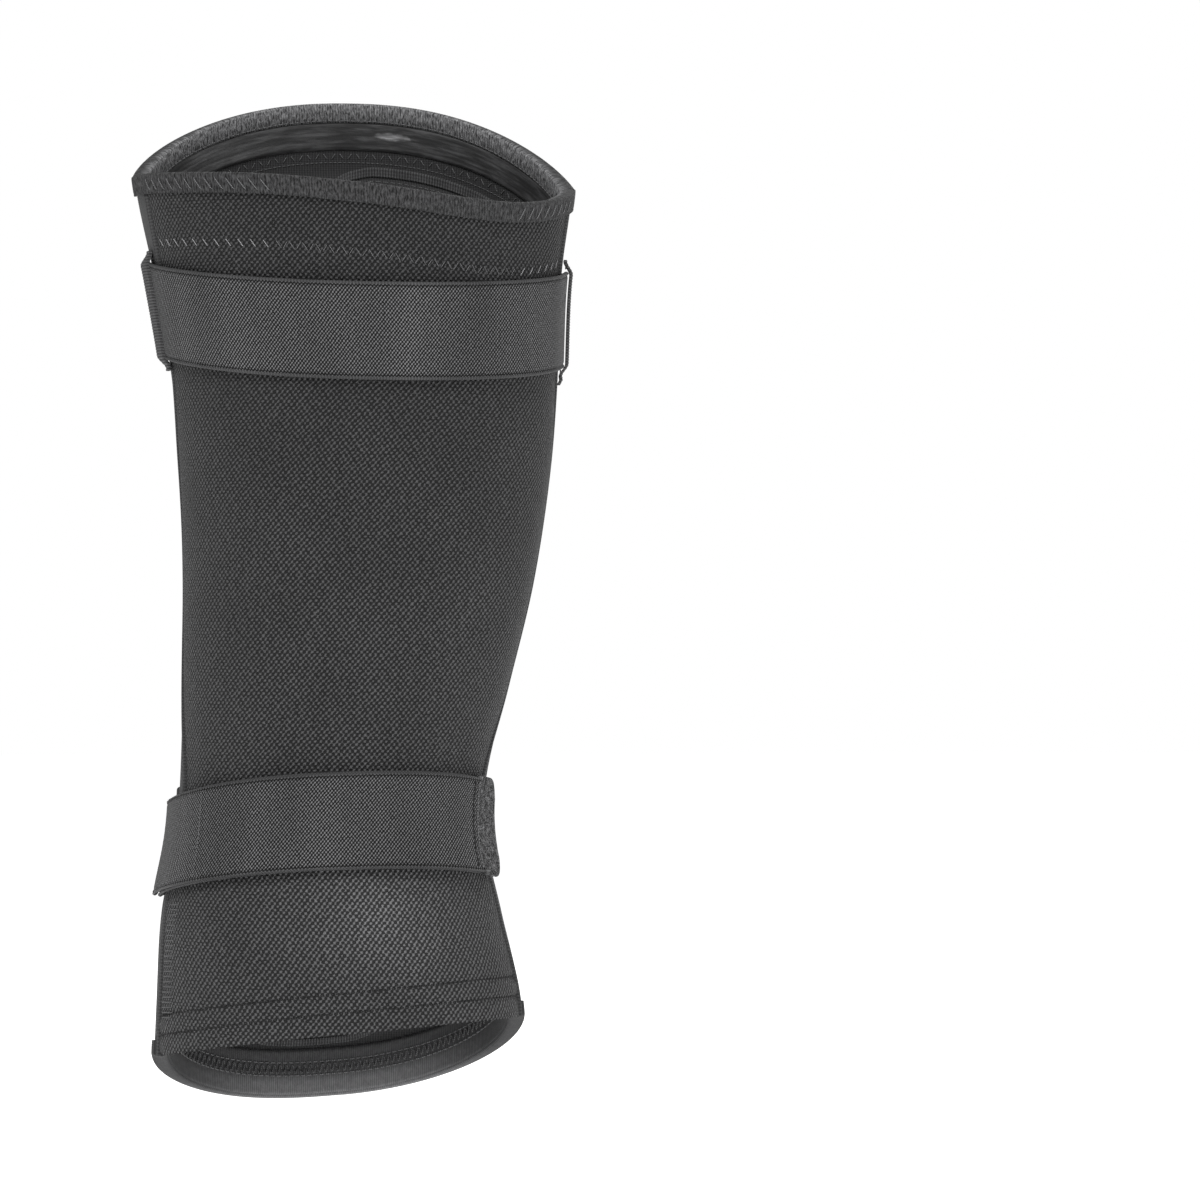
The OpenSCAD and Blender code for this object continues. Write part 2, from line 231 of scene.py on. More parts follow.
def mesh_object(name, points, faces, uv):
    """A mesh from points in mm, four-cornered faces and one UV pair, in mm, for each corner."""
    mesh = bpy.data.meshes.new(name)
    mesh.vertices.add(len(points))
    mesh.vertices.foreach_set("co", (np.asarray(points, float) * MM).ravel())
    mesh.loops.add(4 * len(faces))
    mesh.loops.foreach_set("vertex_index", np.asarray(faces, np.int32).ravel())
    mesh.polygons.add(len(faces))
    mesh.polygons.foreach_set("loop_start", np.arange(0, 4 * len(faces), 4, dtype=np.int32))
    mesh.polygons.foreach_set("use_smooth", np.ones(len(faces), bool))
    layer = mesh.uv_layers.new(name="UVMap")
    layer.data.foreach_set("uv", np.asarray(uv, np.float32).ravel())
    mesh.update(calc_edges=True)
    mesh.validate()
    obj = bpy.data.objects.new(name, mesh)
    bpy.context.scene.collection.objects.link(obj)
    return obj


def sheet(name, outer, inner, uv=None, closed=False):
    """A closed skin between an outer and an inner grid of points, joined round its edges."""
    nu, nv = outer.shape[0] - 1, outer.shape[1] - 1
    rows = nu if closed else nu + 1
    if uv is None:
        uv = grid_map(girth(outer), girth(np.swapaxes(outer, 0, 1)).T)
    i, j = (g.ravel() for g in np.meshgrid(np.arange(nu), np.arange(nv), indexing="ij"))
    k, m = np.arange(nu), np.arange(nv)
    zero, one = np.zeros_like, np.ones_like

    def quads(*corners):
        return np.stack([np.stack(c, -1) for c in corners], 1)

    parts = [
        quads((i, j, zero(i)), (i + 1, j, zero(i)), (i + 1, j + 1, zero(i)), (i, j + 1, zero(i))),
        quads((i, j, one(i)), (i, j + 1, one(i)), (i + 1, j + 1, one(i)), (i + 1, j, one(i))),
        quads((k, k * 0 + nv, zero(k)), (k + 1, k * 0 + nv, zero(k)), (k + 1, k * 0 + nv, one(k)),
              (k, k * 0 + nv, one(k))),
        quads((k, k * 0, zero(k)), (k, k * 0, one(k)), (k + 1, k * 0, one(k)), (k + 1, k * 0, zero(k)))]
    if not closed:
        parts += [
            quads((m * 0, m, zero(m)), (m * 0, m + 1, zero(m)), (m * 0, m + 1, one(m)), (m * 0, m, one(m))),
            quads((m * 0 + nu, m, zero(m)), (m * 0 + nu, m, one(m)), (m * 0 + nu, m + 1, one(m)),
                  (m * 0 + nu, m + 1, zero(m)))]
    corner = np.concatenate(parts)
    faces = corner[..., 2] * rows * (nv + 1) + (corner[..., 0] % rows) * (nv + 1) + corner[..., 1]
    points = np.concatenate([outer[:rows].reshape(-1, 3), inner[:rows].reshape(-1, 3)])
    return mesh_object(name, points, faces, uv[corner[..., 0], corner[..., 1]])


def threads(name, paths, radius, sides=6):
    """Many short lengths of thread as one mesh: a tube along each path of points in mm."""
    points, faces, uv = [], [], []
    turn = np.arange(sides) * 2 * math.pi / sides
    start = 0
    for path in paths:
        path = np.asarray(path, float)
        n = len(path)
        tangent = np.gradient(path, axis=0)
        tangent /= np.linalg.norm(tangent, axis=1)[:, None] + 1e-9
        ref = np.array([0.31, 0.22, 0.92]) if abs(tangent.mean(0)[2]) < 0.8 else np.array([0.9, 0.3, 0.1])
        n1 = np.cross(tangent, ref)
        n1 /= np.linalg.norm(n1, axis=1)[:, None]
        n2 = np.cross(tangent, n1)
        r = np.full(n, radius)
        r[[0, -1]] *= 0.45
        ring = path[:, None] + r[:, None, None] * (
            np.cos(turn)[None, :, None] * n1[:, None] + np.sin(turn)[None, :, None] * n2[:, None])
        points.append(ring.reshape(-1, 3))
        run = girth(path)
        i, k = (g.ravel() for g in np.meshgrid(np.arange(n - 1), np.arange(sides), indexing="ij"))
        k1 = (k + 1) % sides
        faces.append(start + np.stack([i * sides + k, i * sides + k1, (i + 1) * sides + k1,
                                       (i + 1) * sides + k], 1))
        low, high = k / sides * 6, (k + 1) / sides * 6
        corners = ((run[i], low), (run[i], high), (run[i + 1], high), (run[i + 1], low))
        uv.append(np.stack([np.stack(c, -1) for c in corners], 1))
        last = (n - 1) * sides
        caps = np.array([[0, 3, 2, 1], [0, 5, 4, 3], [last, last + 1, last + 2, last + 3],
                         [last, last + 3, last + 4, last + 5]])
        faces.append(start + caps)
        uv.append(np.zeros((4, 4, 2)))
        start += n * sides
    return mesh_object(name, np.concatenate(points), np.concatenate(faces), np.concatenate(uv))


def stitch(a0, z0, a1, z1, d, lift=0.5, side=1):
    """One stitch on the face at d, its ends in the cloth; side is -1 on an inner face."""
    t = np.linspace(0, 1, 7)
    a, z = mix(a0, a1, t), mix(z0, z1, t)
    rise = lift * np.minimum(1, 2.2 * np.sin(math.pi * t)) - 0.3
    return skin(a, z, (d(a, z) if callable(d) else d) + side * rise)


def running(a0, a1, height, d, step=2.6, length=0.72, lift=0.5, side=1):
    """A row of running stitches along a line round the leg."""
    a = walk(a0, a1, height, step)
    return [stitch(p, height(p), q, height(q), d, lift, side)
            for p, q in zip(a[:-1], mix(a[:-1], a[1:], length))]


def zigzag(a0, a1, height, d, pitch, tall, length=0.8, side=1):
    """A row of zigzag stitches: strokes that lean one way and then the other."""
    a = walk(a0, a1, height, pitch / 2)
    strokes = []
    for n, (p, q) in enumerate(zip(a[:-1], mix(a[:-1], a[1:], length))):
        turn = -1 if n % 2 else 1
        strokes.append(stitch(p, height(p) + turn * tall / 2, q, height(q) - turn * tall / 2, d, 0.55, side))
    return strokes


# ---------------------------------------------------------------- materials

class Paint:
    """A procedural material, with short calls for the nodes that it is made of."""

    def __init__(self, name, roughness=0.85, specular=0.25, sheen=0.0, sheen_roughness=0.5, metallic=0.0):
        self.material = bpy.data.materials.new(name)
        self.material.use_nodes = True
        self.tree = self.material.node_tree
        self.shader = self.tree.nodes["Principled BSDF"]
        self.shader.inputs["Roughness"].default_value = roughness
        self.shader.inputs["Specular IOR Level"].default_value = specular
        self.shader.inputs["Metallic"].default_value = metallic
        self.shader.inputs["Sheen Weight"].default_value = sheen
        self.shader.inputs["Sheen Roughness"].default_value = sheen_roughness
        coords = self.tree.nodes.new("ShaderNodeUVMap")
        coords.uv_map = "UVMap"
        self.uv = coords.outputs["UV"]
        split = self.tree.nodes.new("ShaderNodeSeparateXYZ")
        self.tree.links.new(self.uv, split.inputs[0])
        self.u, self.v = split.outputs[0], split.outputs[1]

    def link(self, value, socket):
        if isinstance(value, (int, float)):
            socket.default_value = value
        else:
            self.tree.links.new(value, socket)

    def math(self, operation, a, b=0.0, c=0.0):
        node = self.tree.nodes.new("ShaderNodeMath")
        node.operation = operation
        for value, socket in zip((a, b, c), node.inputs):
            self.link(value, socket)
        return node.outputs[0]

    def plus(self, a, b):
        return self.math("ADD", a, b)

    def minus(self, a, b):
        return self.math("SUBTRACT", a, b)

    def times(self, a, b):
        return self.math("MULTIPLY", a, b)

    def scaled(self, value, factor, offset):
        return self.math("MULTIPLY_ADD", value, factor, offset)

    def mixed(self, a, b, share):
        """A share of a and the rest of b."""
        return self.scaled(a, share, self.times(b, 1 - share))

    def wave(self, value, period):
        return self.math("COSINE", self.times(value, 2 * math.pi / period))

    def ribs(self, value, period):
        """Rounded ribs, 0 to 1."""
        return self.scaled(self.wave(value, period), 0.5, 0.5)

    def far(self, u0, v0, half_u, half_v):
        """Squared distance in the map from u0, v0, counted in half widths and half heights."""
        du = self.scaled(self.u, 1 / half_u, -u0 / half_u)
        dv = self.scaled(self.v, 1 / half_v, -v0 / half_v)
        return self.plus(self.times(du, du), self.times(dv, dv))

    def noise(self, scale, detail=2.0, stretch=(1, 1, 1), roughness=0.5, source=None):
        mapping = self.tree.nodes.new("ShaderNodeMapping")
        mapping.inputs["Scale"].default_value = stretch
        self.tree.links.new(source or self.uv, mapping.inputs["Vector"])
        node = self.tree.nodes.new("ShaderNodeTexNoise")
        node.inputs["Scale"].default_value = scale
        node.inputs["Detail"].default_value = detail
        node.inputs["Roughness"].default_value = roughness
        self.tree.links.new(mapping.outputs[0], node.inputs["Vector"])
        return node.outputs[0]

    def ramp(self, value, low, high, to_low=0.0, to_high=1.0):
        node = self.tree.nodes.new("ShaderNodeMapRange")
        node.interpolation_type = "SMOOTHSTEP"
        self.link(value, node.inputs["Value"])
        for key, number in zip(("From Min", "From Max", "To Min", "To Max"), (low, high, to_low, to_high)):
            node.inputs[key].default_value = number
        return node.outputs[0]

    def colour(self, factor, dark, light, tint=(1.0, 1.0, 1.02), gain=None):
        """Base colour between two greys, made brighter or darker by gain."""
        node = self.tree.nodes.new("ShaderNodeMix")
        node.data_type = "RGBA"
        self.link(factor, node.inputs["Factor"])
        node.inputs["A"].default_value = (*(dark * t for t in tint), 1)
        node.inputs["B"].default_value = (*(light * t for t in tint), 1)
        result = node.outputs["Result"]
        if gain is not None:
            scale = self.tree.nodes.new("ShaderNodeVectorMath")
            scale.operation = "SCALE"
            self.tree.links.new(result, scale.inputs[0])
            self.tree.links.new(gain, scale.inputs["Scale"])
            result = scale.outputs[0]
        self.tree.links.new(result, self.shader.inputs["Base Color"])
        return self

    def rough(self, value, low, high):
        self.tree.links.new(self.ramp(value, 0, 1, low, high), self.shader.inputs["Roughness"])
        return self

    def bump(self, height, distance_mm, strength=1.0):
        node = self.tree.nodes.new("ShaderNodeBump")
        node.inputs["Strength"].default_value = strength
        node.inputs["Distance"].default_value = distance_mm * MM
        self.tree.links.new(height, node.inputs["Height"])
        self.tree.links.new(node.outputs[0], self.shader.inputs["Normal"])
        return self


def staggered(paint, pitch_u, pitch_v, slant=0.2, jitter=0.25):
    """Height of a knit or weave whose raised loops are staggered from row to row, 0 to 1."""
    shift = paint.scaled(paint.noise(0.35, 3), 2 * jitter, -jitter)
    rise = paint.scaled(paint.noise(0.22, 3, (1, 1.3, 1)), 2 * jitter, -jitter)
    u, v = paint.plus(paint.u, shift), paint.plus(paint.v, rise)
    loops = paint.times(paint.wave(u, pitch_u), paint.wave(v, pitch_v))
    across = paint.times(v, pitch_u / pitch_v)
    ridges = paint.wave(paint.minus(u, across), pitch_u)
    both = paint.mixed(ridges, loops, slant)
    return paint.scaled(both, 0.5, 0.5)


def knit_material():
    p = Paint("knit_mesh", roughness=0.7, specular=0.16, sheen=0.05, sheen_roughness=0.4)
    height = staggered(p, 2.15, 2.5, 0.12, 0.6)
    grit = p.noise(0.9, 4, (0.45, 1.5, 1), 0.65)
    spot = p.ramp(p.scaled(grit, 1.3, p.minus(height, 0.65)), 0.38, 0.88)
    patch = p.noise(0.03, 3)
    level = p.ramp(p.v, -185, 175, 1.2, 0.77)
    # painted highlight: a soft pool of light that brightens the beads just below the calf strap
    painted_highlight = p.math("EXPONENT", p.times(p.far(17, -127.4, 34, 26), -1.0))
    gain = p.times(p.times(level, p.scaled(painted_highlight, 0.75, 1.0)), p.scaled(patch, 0.6, 0.7))
    p.colour(spot, 0.0095, 0.079, gain=gain)
    fibre = p.scaled(p.noise(6, 2), 0.2, height)
    return p.bump(fibre, 0.9, 1.0).material


def cloth_material():
    p = Paint("stretch_cloth", roughness=0.75, specular=0.15, sheen=0.05, sheen_roughness=0.4)
    rib = p.scaled(p.times(p.wave(p.u, 0.8), p.wave(p.v, 0.8)), 0.5, 0.5)
    p.colour(p.mixed(rib, p.noise(0.6, 4), 0.6), 0.018, 0.06)
    return p.bump(p.plus(rib, p.noise(3, 3)), 0.18, 0.8).material


def lining_material():
    p = Paint("knitted_lining", roughness=0.85, specular=0.12, sheen=0.04)
    rib = p.ribs(p.u, 1.1)
    course = p.ribs(p.v, 0.9)
    height = p.mixed(rib, course, 0.7)
    p.colour(p.mixed(height, p.noise(0.8, 4), 0.6), 0.013, 0.055)
    return p.bump(height, 0.25, 0.8).material


def tape_material():
    p = Paint("seam_tape", roughness=0.75, specular=0.15, sheen=0.04)
    ribs = p.ribs(p.v, 1.3)
    p.colour(p.times(ribs, p.noise(1.2, 3)), 0.02, 0.07)
    return p.bump(p.plus(ribs, p.noise(4, 2)), 0.12, 0.8).material


def binding_material():
    p = Paint("folded_elastic", roughness=0.8, specular=0.12, sheen=0.05)
    shift = p.scaled(p.noise(0.4, 3), 2.2, p.u)
    ribs = p.ribs(shift, 1.12)
    fibre = p.ramp(p.noise(0.95, 4, (1, 0.45, 1), 0.6), 0.36, 0.66)
    both = p.mixed(ribs, fibre, 0.35)
    # painted light: the inner face is painted up to four times as bright as the outer one, brightest just
    # over the rim and fading further in
    over = p.times(p.ramp(p.v, -0.5, 2.5, 0.95, 4.2), p.ramp(p.v, 3.5, 9.5, 1.0, 0.5))
    p.colour(both, 0.006, 0.072, gain=over)
    return p.bump(both, 0.4, 1.0).material


def silicone_material():
    """Printed silicone: tone streaks along the band that also stand for painted sheen, and a painted sheen
    patch at the middle of the front.
    """
    p = Paint("silicone_gripper", roughness=0.4, specular=0.35)
    # streaks of tone along the band, also used as painted sheen streaks
    streak_and_sheen = p.ramp(p.noise(0.5, 5, (0.12, 1, 1), 0.65), 0.4, 0.72)
    front = np.linspace(0, 83, 200)
    middle = float(girth(skin(front, rim_top(front), -3))[-1])
    # painted sheen: a soft pale patch of reflected light at the middle of the front
    ragged = p.scaled(p.noise(0.4, 4), 1.6, p.minus(p.far(middle, 6.5, 8, 1.5), 0.8))
    wear_and_sheen = p.minus(1.0, p.ramp(ragged, 0.2, 1.3))
    p.colour(streak_and_sheen, 0.019, 0.07, gain=p.scaled(wear_and_sheen, 4.5, 1.0))
    p.rough(p.noise(0.8, 3), 0.34, 0.6)
    lines = p.times(p.wave(p.v, 1.6), 0.2)
    return p.bump(p.plus(p.noise(2.0, 3), lines), 0.12, 0.5).material


def webbing_material():
    p = Paint("ribbed_webbing", roughness=0.75, specular=0.15, sheen=0.05)
    ribs = p.ribs(p.v, 1.15)
    rows = p.ribs(p.u, 1.4)
    height = p.mixed(ribs, rows, 0.8)
    p.colour(p.times(height, p.noise(1.5, 3)), 0.02, 0.14)
    return p.bump(height, 0.35, 0.9).material


def elastic_material():
    p = Paint("woven_elastic", roughness=0.7, specular=0.16, sheen=0.05, sheen_roughness=0.4)
    height = staggered(p, 1.35, 1.7, 0.14, 0.3)
    edge = p.ramp(p.math("ABSOLUTE", p.v), STRAP_W / 2 - 1.3, STRAP_W / 2 - 1.0)
    rough = p.scaled(p.noise(1.0, 3, (1, 1, 1), 0.7), 0.9, p.minus(height, 0.45))
    body = p.times(p.ramp(rough, 0.42, 0.85), p.minus(1.0, edge))
    cord = p.times(p.scaled(p.wave(p.u, 1.2), 0.1, 0.3), edge)
    cloudy = p.scaled(p.noise(0.03, 3, (1, 0.25, 1)), 1.3, 0.27)
    # painted shade: a dark line in the groove just inside each edge cord
    off_groove = p.math("ABSOLUTE", p.minus(p.math("ABSOLUTE", p.v), STRAP_W / 2 - 1.7))
    groove = p.ramp(off_groove, 0.0, 0.6, 0.25, 1.0)
    gain = p.times(cloudy, groove)
    p.colour(p.plus(body, cord), 0.004, 0.158, gain=gain)
    relief = p.plus(p.times(height, p.minus(1.0, edge)), cord)
    return p.bump(p.plus(relief, p.times(p.noise(5, 2), 0.3)), 0.4, 1.0).material


def brushed_material():
    p = Paint("brushed_loop", roughness=0.95, specular=0.08, sheen=0.08, sheen_roughness=0.5)
    pile = p.noise(0.42, 6, (1, 1, 1), 0.8)
    fine = p.noise(1.5, 3)
    both = p.ramp(p.mixed(fine, pile, 0.4), 0.42, 0.60)
    p.colour(both, 0.003, 0.172)
    return p.bump(both, 0.5, 1.0).material


def hem_material():
    """Brushed knit with a painted sheen just inside the rim, broadest at the middle of the front, and dark
    away from it.
    """
    p = Paint("brushed_hem", roughness=0.85, specular=0.1, sheen=0.08, sheen_roughness=0.4)
    wale = p.ribs(p.u, 0.95)
    cloudy = p.noise(0.5, 5, (1, 1, 1), 0.65)
    ends = np.linspace(front_from(-180.0), front_to(-180.0), 200)
    length = float(girth(skin(ends, rim_low(ends), 0))[-1])
    # painted sheen: a pale strip just inside the rim that fades towards the corners and away from the rim
    off_middle = p.math("ABSOLUTE", p.minus(p.u, length / 2))
    middle = p.ramp(off_middle, length * 0.08, length * 0.36, 1.0, 0.12)
    band = p.times(p.ramp(p.v, -1.5, 1.0), p.ramp(p.v, 4.5, 9.5, 1.0, 0.3))
    gain = p.scaled(p.times(band, middle), 1.75, 0.5)
    grain = p.mixed(wale, cloudy, 0.3)
    p.colour(grain, 0.016, 0.1, gain=gain)
    return p.bump(p.plus(wale, p.noise(4, 3)), 0.16, 0.8).material


def shell_material():
    p = Paint("moulded_shell", roughness=0.55, specular=0.4)
    grain = p.noise(2.2, 5, (1, 1, 1), 0.6)
    p.colour(p.noise(0.15, 3), 0.012, 0.028)
    p.rough(p.noise(0.4, 4), 0.42, 0.68)
    return p.bump(grain, 0.12, 0.7).material


def foam_material():
    """The pads are simulated and carry no map, so their cells use object coordinates."""
    p = Paint("closed_cell_foam", roughness=0.9, specular=0.2)
    spot = p.tree.nodes.new("ShaderNodeTexCoord").outputs["Object"]
    cells = p.noise(1800, 5, source=spot)
    p.colour(cells, 0.06, 0.12)
    return p.bump(cells, 0.2, 0.6).material


def thread_material(name, dark, light):
    p = Paint(name, roughness=0.6, specular=0.25)
    twist = p.ribs(p.scaled(p.v, 0.13, p.u), 0.75)
    p.colour(twist, dark, light)
    return p.bump(twist, 0.08, 0.8).material


def wire_material():
    """The ring is a CAD piece with no map, so its coating uses object coordinates."""
    p = Paint("coated_wire", roughness=0.4, specular=0.5)
    spot = p.tree.nodes.new("ShaderNodeTexCoord").outputs["Object"]
    wear_and_sheen = p.noise(900, 3, source=spot)
    p.colour(wear_and_sheen, 0.010, 0.022)
    p.rough(wear_and_sheen, 0.32, 0.5)
    return p.bump(p.noise(2500, 3, source=spot), 0.03, 0.5).material


KNIT = knit_material()
CLOTH = cloth_material()
LINING = lining_material()
TAPE = tape_material()
BINDING = binding_material()
SILICONE = silicone_material()
WEBBING = webbing_material()
ELASTIC = elastic_material()
BRUSHED = brushed_material()
HEM = hem_material()
SHELL = shell_material()
FOAM = foam_material()
THREAD = thread_material("thread_grey", 0.03, 0.11)
PALE_THREAD = thread_material("thread_pale", 0.05, 0.17)
LIGHT_THREAD = thread_material("thread_light", 0.12, 0.36)
DARK_THREAD = thread_material("thread_dark", 0.004, 0.02)
WIRE = wire_material()


def place(obj, material, body=None, nodes=()):
    """Gives a piece its material and the body it rides on, and hides the CAD nodes it replaces; with no body
    its points are baked in place, unparented.
    """
    obj.data.materials.clear()
    obj.data.materials.append(material)
    if body:
        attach(obj, body)
    else:
        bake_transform(obj)
    if nodes:
        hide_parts(*nodes)
    return obj


# ---------------------------------------------------------------- cloth of the sleeve

def in_three(name):
    """The CAD nodes of a piece that is split at the knee."""
    return [f"{part}_{name}" for part in ("thigh", "knee", "shin")]


def sleeve_grid(from_a, to_a, from_z, to_z, nu, nv):
    """Angles and heights of a piece of the sleeve between two seams and two rims."""
    u, v = np.meshgrid(np.linspace(0, 1, nu + 1), np.linspace(0, 1, nv + 1), indexing="ij")
    a = mix(from_a(0.0), to_a(0.0), u)
    for _ in range(3):
        z = mix(from_z(a), to_z(a), v)
        a = mix(from_a(z), to_a(z), u)
    return a, z


def mapped(points, z, middle):
    """UV in mm: length round the leg from a middle column, and height."""
    run = girth(points)
    return grid_map(run - run[middle], z)


def back_from(z):
    return along(SEAM_L, z) + SEAM_A + 0.2


def back_to(z):
    return along(SEAM_R, z) - SEAM_A - 0.2


def line_dent(value, place_at, width, depth):
    return -depth * np.exp(-((value - place_at) / width) ** 2)


def back_relief(a, z):
    """Soft shape of the back mesh: pinched rows of stitches, gathers by the straps and a slack middle."""
    top, low = rim_top(a) - z, z - rim_low(a)
    relief = line_dent(top, BAND_ROW, 1.8, 0.35)
    relief += line_dent(low, HEM_ROWS[0], 0.9, 0.7) + line_dent(low, HEM_ROWS[1], 0.9, 0.75)
    relief += 0.45 * np.exp(-((low - 12) / 2.4) ** 2)
    gather = np.exp(-np.abs(z - calf_strap_z(a) + 26) / 9) + np.exp(-np.abs(z - calf_strap_z(a) - 26) / 12)
    relief += 0.22 * gather * np.cos(np.radians(a * 9.0) + 0.04 * z)
    relief += 0.35 * np.sin(z / 23.0 + np.radians(a) * 2) * np.sin(np.radians(a) * 3 + z / 41.0)
    return relief * smooth(low / 3) * smooth(top / 3)


def build_back():
    a, z = sleeve_grid(back_from, back_to, rim_low, under_top(1.8), 170, 300)
    relief = back_relief(a, z)
    edge = 0.9 * (1 - np.sqrt(smooth((z - rim_low(a)) / 1.6)))
    run = girth(skin(a, z, 0))
    corner = 1 - np.clip(np.minimum(run, run[-1] - run) / 3.2, 0, 1)
    z = z + 2.6 * (1 - np.sqrt(1 - corner ** 2)) * np.exp(-(z - rim_low(a)) / 3)
    outer = skin(a, z, relief - edge)
    inner = skin(a, z, relief - CLOTH_T + edge)
    back = sheet("back_mesh", outer, inner, mapped(outer, z, 85))
    place(back, KNIT, None, in_three("back_mesh"))
    return back


def build_front():
    a, z = sleeve_grid(front_from, front_to, over_low(1.8), under_top(1.8), 150, 240)
    outer = skin(a, z, 0)
    inner = skin(a, z, -CLOTH_T)
    front = sheet("front_cloth", outer, inner, mapped(outer, z, 75))
    place(front, CLOTH, None, in_three("front_panel"))
    return front


def build_lining():
    a, z = sleeve_grid(front_from, front_to, over_low(1.8), under_top(1.8), 120, 220)
    run = girth(skin(a, z, D_LINE))
    d = lining_d(a, z) + 0.65 * (1 - smooth(np.minimum(run, run[-1] - run) / 5))
    outer, inner = skin(a, z, d), skin(a, z, d - LINING_T)
    lining = sheet("lining", outer, inner, mapped(outer, z, 60))
    place(lining, LINING, None, in_three("lining"))
    return lining


def build_seam(name, table):
    """Seam tape: a narrow strip grooved where the cloths meet, its sides tucked under their edges."""
    u, v = np.meshgrid(np.linspace(-1.3, 1.3, 27), np.linspace(0, 1, 241), indexing="ij")
    low = rim_low(along(table, -180.0)) + 0.6
    high = rim_top(along(table, 160.0)) - BINDING_H
    z = mix(low, high, v)
    a = along(table, z) + SEAM_A * u
    crown = 0.6 * np.sqrt(np.clip(1 - u ** 4, 0, 1)) - 0.5 * np.exp(-((u + 0.35) / 0.16) ** 2)
    crown -= 0.5 * smooth((np.abs(u) - 0.98) / 0.1)
    outer, inner = skin(a, z, crown), skin(a, z, -CLOTH_T - 0.5)
    place(sheet(name, outer, inner, grid_map(u * SEAM_W / 2, z)), TAPE, None, in_three(name))


# ---------------------------------------------------------------- edges

def channel(rim, tall, up, a, ribs, full=1.0):
    """A folded binding round an edge: the two faces of a strip bent over the rim, pinched where full is 0."""
    s = np.concatenate([np.linspace(-1, -0.28, 10), np.linspace(-0.24, 0.24, 13), np.linspace(0.28, 1, 10)])
    inside = wall_d(a)
    mid, half = (inside / 2)[:, None], (-inside / 2)[:, None]
    turn = np.clip(s / 0.26, -1, 1) * math.pi / 2
    down = np.clip((np.abs(s) - 0.26) / 0.74, 0, 1) * (tall - 1.2)

    def face(extra, bump):
        d = mid - (half + extra + bump) * np.sin(turn)[None] * np.reshape(full, (-1, 1))
        z = (1.2 + bump) * np.cos(turn)[None] * (extra / 1.2) - 1.2 - down[None]
        return skin(a[:, None], rim(a)[:, None] + up * z, d)

    lip = 0.25 * np.exp(-((down - (tall - 1.9)) / 0.5) ** 2)[None]
    bump = ribs[:, None] * smooth(down / 1.5 + 0.4)[None] - 0.3 * lip
    return face(1.2, bump), face(0.3, 0 * bump), s


def build_binding():
    a = np.linspace(0, 360, 2401)
    run = girth(skin(a, rim_top(a), 0))
    ribs = 0.07 * np.cos(2 * math.pi * run / (run[-1] / round(run[-1] / 1.12)))
    outer, inner, s = channel(rim_top, BINDING_H, 1, a, ribs)
    uv = grid_map(run[:, None], s[None] * 10)
    # counted round the leg, the strip runs from outside over the rim to the inside
    place(sheet("top_binding", outer, inner, uv, closed=True), BINDING, "thigh", ["top_binding"])


def build_front_hem():
    """The front's rolled hem, pinched shut where it ends at the side seams."""
    a = np.linspace(front_from(-180.0) - 0.8, front_to(-180.0) + 0.8, 720)
    run = girth(skin(a, rim_low(a), 0))
    full = np.sqrt(smooth(np.minimum(run, run[-1] - run) / 3.0 + 0.03))
    outer, inner, s = channel(rim_low, HEM_H, -1, a, 0.02 * np.cos(2 * math.pi * run / 0.95), full)
    uv = grid_map(run[:, None], s[None] * 9)
    obj = sheet("calf_hem", outer[:, ::-1], inner[:, ::-1], uv[:, ::-1])
    place(obj, HEM, "shin", ["calf_hem"])


def inner_band(name, a, low, high, rest, full, rows, closed=False):
    """A band rest mm in from the inside of the wall and full mm thick, with its free edges rounded."""
    v = np.linspace(0, 1, rows + 1)
    z = mix(low(a)[:, None], high(a)[:, None], v[None])
    tall = (high(a) - low(a))[:, None]
    from_edge = np.minimum(v, 1 - v)[None] * tall
    thick = full * np.sqrt(smooth(from_edge / 1.2 + 0.05))
    outer = skin(a[:, None], z, wall_d(a)[:, None] - rest)
    inner = skin(a[:, None], z, wall_d(a)[:, None] - rest - thick)
    uv = grid_map(girth(skin(a, low(a), 0))[:, None], z - low(a)[:, None])
    return sheet(name, outer, inner, uv, closed)


def build_bands():
    a = np.linspace(0, 360, 541)
    place(inner_band("thigh_gripper", a, under_top(BINDING_H + 0.2 + GRIPPER_H), under_top(BINDING_H - 0.4),
                     0.1, 0.9, 24, True), SILICONE, "thigh", ["thigh_gripper"])
    front = np.linspace(front_from(-180.0) + 0.6, front_to(-180.0) - 0.6, 361)
    place(inner_band("calf_facing", front, over_low(1.0), over_low(HEM_H + 0.2 + FACING_H), 0.1, 1.5, 24),
          HEM, "shin", ["calf_facing"])
    back = np.linspace(back_from(-180.0) + 0.3, back_to(-180.0) - 0.3, 301)
    place(inner_band("back_hem", back, over_low(0.2), over_low(TURN_UP), 0.6, 1.1, 20),
          KNIT, "shin", ["back_hem"])


# ---------------------------------------------------------------- straps

def ribbon_rows(width, rows=44):
    """Places across a strap, close together at its corded edges."""
    t = np.linspace(-1, 1, rows + 1)
    return width / 2 * np.sign(t) * (1 - (1 - np.abs(t)) ** 1.8)


def ribbon(name, a, middle, base, width, thick, corded=True, width_at=None):
    """An elastic strap round the leg: flat, with a thin cord along each edge and rounded sides."""
    w = ribbon_rows(1.0)
    size = np.full(len(a), float(width)) if width_at is None else width_at
    v = w[None] * size[:, None]
    from_edge = size[:, None] / 2 - np.abs(v)
    round_off = np.sqrt(np.clip(1 - (1 - np.clip(from_edge / 0.9, 0, 1)) ** 2, 0, 1))
    cord = 0.3 * np.exp(-((from_edge - 0.6) / 0.35) ** 2) - 0.45 * np.exp(-((from_edge - 1.5) / 0.35) ** 2)
    d0 = base(a)[:, None]
    half = thick / 2 * round_off
    outer_d = d0 + thick / 2 + half + (cord * round_off if corded else 0)
    z = middle(a)[:, None] + v
    outer, inner = skin(a[:, None], z, outer_d), skin(a[:, None], z, d0 + thick / 2 - half)
    run = girth(skin(a, middle(a), base(a)))
    return sheet(name, outer, inner, grid_map(run[:, None], v))


